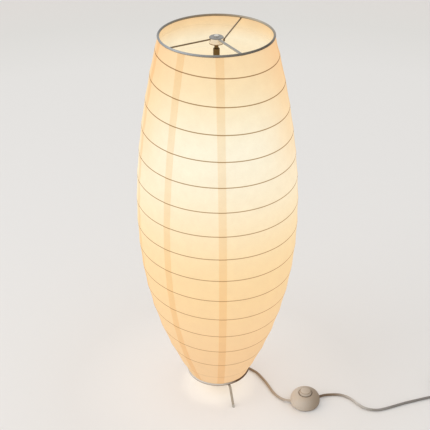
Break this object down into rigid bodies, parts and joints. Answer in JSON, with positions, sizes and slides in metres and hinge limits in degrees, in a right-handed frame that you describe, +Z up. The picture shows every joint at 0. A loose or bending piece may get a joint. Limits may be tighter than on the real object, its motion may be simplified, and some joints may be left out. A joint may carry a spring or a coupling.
{
  "type": "floor lamp",
  "caption": "Tall lit paper lantern floor lamp: barrel shade on wire hoops, three wire legs, foot switch on the lead and a coiled lead with a two-pin plug.",
  "frame": {"origin": "on the floor, on the axis of the shade and post", "axes": "+Z up along the post; -Y towards the viewer of the pictured side; +X to that viewer's right, where the lead and foot switch lie"},
  "size_m": [0.8273, 0.3585, 0.9115],
  "materials": {
    "hoop_wire": "thin drawn wire",
    "paper": "matt fibrous paper that glows warm when lit from inside",
    "paper_strip": "the same paper, doubled and glued",
    "wire": "satin grey lacquer on wire and sheet",
    "plated_metal": "zinc plated",
    "holder_plastic": "moulded white",
    "holder_ceramic": "unglazed white",
    "bulb_cap": "bright, screw thread simplified",
    "bulb_glass": "frosted, lit",
    "bulb_filaments": "phosphor coated strips, lit",
    "post": "satin grey lacquer on tube",
    "lead_core": "twin insulated cores",
    "base_metal": "satin pale grey lacquer",
    "leg_tip": "smooth grey vinyl",
    "lead": "smooth warm grey sheath",
    "switch": "fine satin moulding, warm grey",
    "switch_base": "matt dark",
    "switch_core": "moulded insulator",
    "steel": "bright steel",
    "tie": "woven strap",
    "pins": "nickel plated"
  },
  "bodies": {
    "lamp": {"hoop_01": "hoop_wire", "hoop_02": "hoop_wire", "hoop_03": "hoop_wire", "hoop_04": "hoop_wire", "hoop_05": "hoop_wire", "hoop_06": "hoop_wire", "hoop_07": "hoop_wire", "hoop_08": "hoop_wire", "hoop_09": "hoop_wire", "hoop_10": "hoop_wire", "hoop_11": "hoop_wire", "hoop_12": "hoop_wire", "hoop_13": "hoop_wire", "hoop_14": "hoop_wire", "hoop_15": "hoop_wire", "paper_sheet_1": "paper", "paper_sheet_2": "paper", "paper_sheet_3": "paper", "paper_sheet_4": "paper", "paper_sheet_5": "paper", "paper_sheet_6": "paper", "paper_sheet_7": "paper", "joint_strips": "paper_strip", "top_ring": "wire", "spider_arm_left": "wire", "spider_arm_right": "wire", "spider_arm_back": "wire", "spider_hub": "wire", "finial_nut": "plated_metal", "harp_ferrule": "plated_metal", "harp": "wire", "harp_saddle": "plated_metal", "holder_base": "holder_plastic", "holder_shell": "holder_plastic", "holder_insert": "holder_ceramic", "bulb_cap": "bulb_cap", "bulb_glass": "bulb_glass", "bulb_filaments": "bulb_filaments", "post_upper": "post", "post_lower": "post", "post_lead": "lead_core", "base_hub": "base_metal", "leg_front": "base_metal", "leg_right": "base_metal", "leg_left": "base_metal", "leg_tips": "leg_tip", "base_ring": "base_metal", "lead_gland": "lead", "lead_to_switch": "lead", "switch_base": "switch_base", "switch_housing": "switch", "switch_contact_block": "switch_core", "switch_spring": "steel", "switch_screws": "steel", "lead_to_plug": "lead", "lead_coil": "lead", "coil_tie": "tie", "plug_body": "lead", "plug_pins": "pins"},
    "button": {"switch_button": "switch"}
  },
  "joints": [
    {"name": "button_press", "type": "slide", "parent": "lamp", "child": "button", "axis": [0, 0, -1], "range_m": [0, 0.0035], "stiffness_N_per_m": 1500, "springref_m": -0.002, "deforming": ["switch_spring"]}
  ]
}
